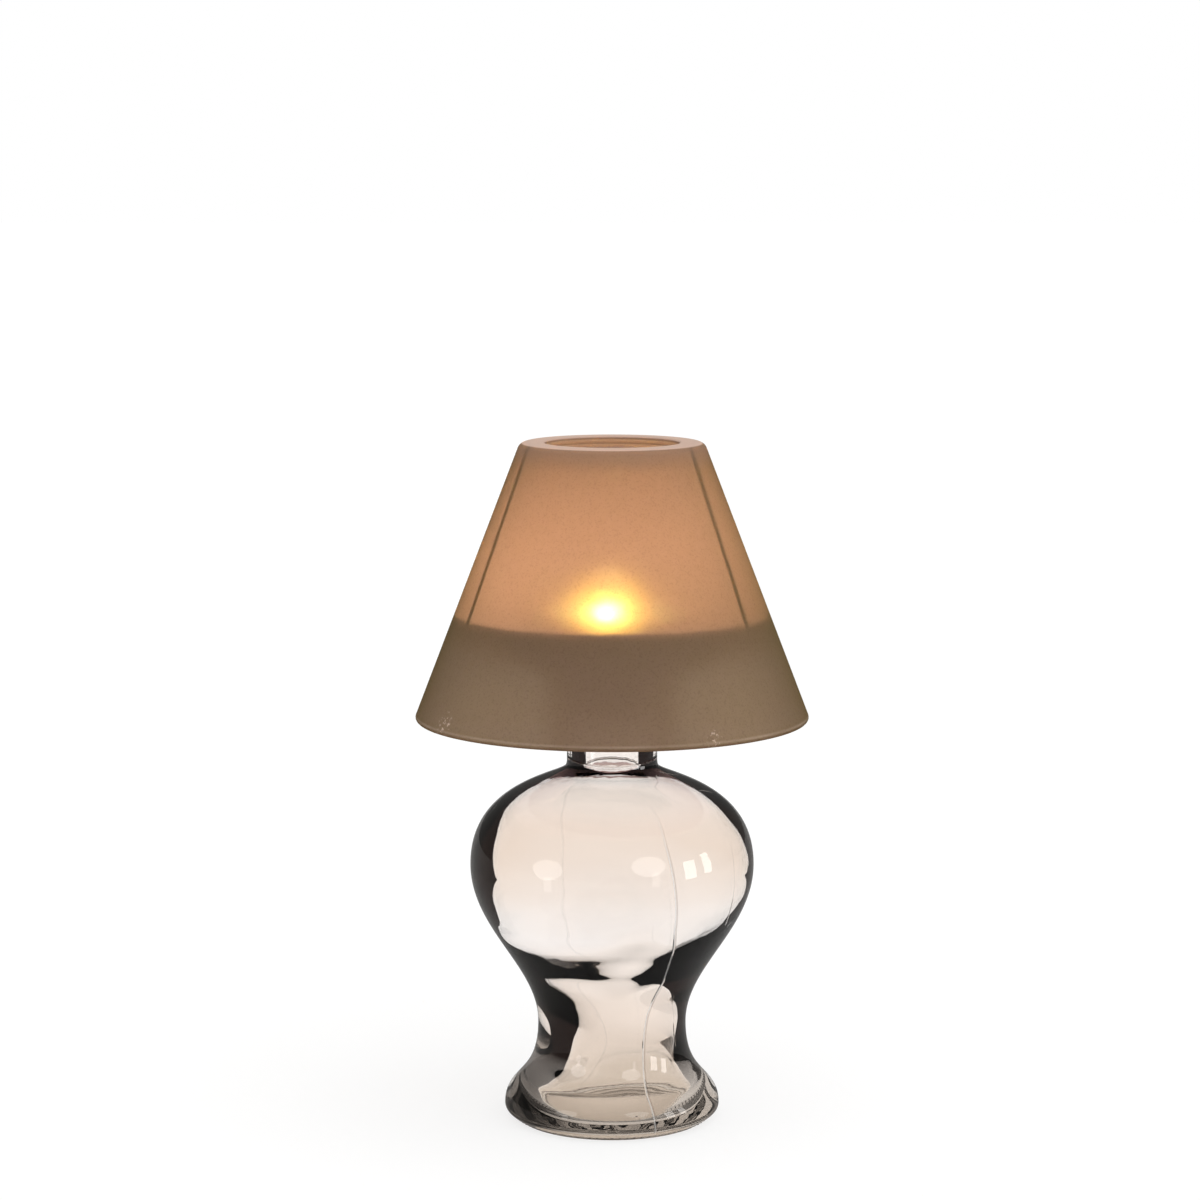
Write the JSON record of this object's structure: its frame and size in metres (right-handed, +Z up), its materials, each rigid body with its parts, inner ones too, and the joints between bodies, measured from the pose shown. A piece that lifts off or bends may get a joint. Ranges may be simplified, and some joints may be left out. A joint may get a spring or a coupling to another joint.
{
  "type": "candle lamp with shade",
  "caption": "Tealight lamp: clear glass baluster base, metal carrier plugged into its neck, and a frosted glass cone shade hung on the carrier's top ring.",
  "frame": {"origin": "the centre of the bearing ring, on the surface that the lamp stands on", "axes": "+Z up along the lamp's axis, -Y towards the front, +X to the right as seen from the front"},
  "size_m": [0.1302, 0.1302, 0.2269],
  "materials": {
    "clear_glass": "clear pressed glass with a faint warm tint, wavy inside, fine mould seam",
    "frosted_glass": "satin frosted glass in warm taupe, translucent to candlelight",
    "carrier_metal": "dark bronze lacquer, satin",
    "bright_steel": "zinc-plated steel, satin",
    "rubber": "soft dark rubber, matt",
    "cup_aluminium": "thin drawn aluminium, bright",
    "candle_wax": "white paraffin wax, soft sheen, molten round the wick",
    "cotton_wick": "braided cotton, charred at the tip"
  },
  "bodies": {
    "base": {"glass_base": "clear_glass"},
    "carrier": {"neck_grommet": "rubber", "stopper_tube": "carrier_metal", "stopper_washer": "bright_steel", "stopper_nut": "bright_steel", "centre_screw": "bright_steel", "drip_dish": "carrier_metal", "tealight_socket": "carrier_metal", "leg_left": "carrier_metal", "leg_right": "carrier_metal", "leg_rear": "carrier_metal", "leg_nuts": "bright_steel", "top_ring": "carrier_metal"},
    "shade": {"shade": "frosted_glass"},
    "tealight": {"tealight_cup": "cup_aluminium", "tealight_wax": "candle_wax", "wick_sustainer": "bright_steel", "wick": "cotton_wick"}
  },
  "joints": [
    {"name": "carrier_lift", "type": "slide", "parent": "base", "child": "carrier", "axis": [0, 0, 1], "range_m": [0, 0.032]},
    {"name": "shade_lift", "type": "slide", "parent": "carrier", "child": "shade", "axis": [0, 0, 1], "range_m": [0, 0.095]},
    {"name": "tealight_lift", "type": "slide", "parent": "carrier", "child": "tealight", "axis": [0, 0, 1], "range_m": [0, 0.09]}
  ]
}
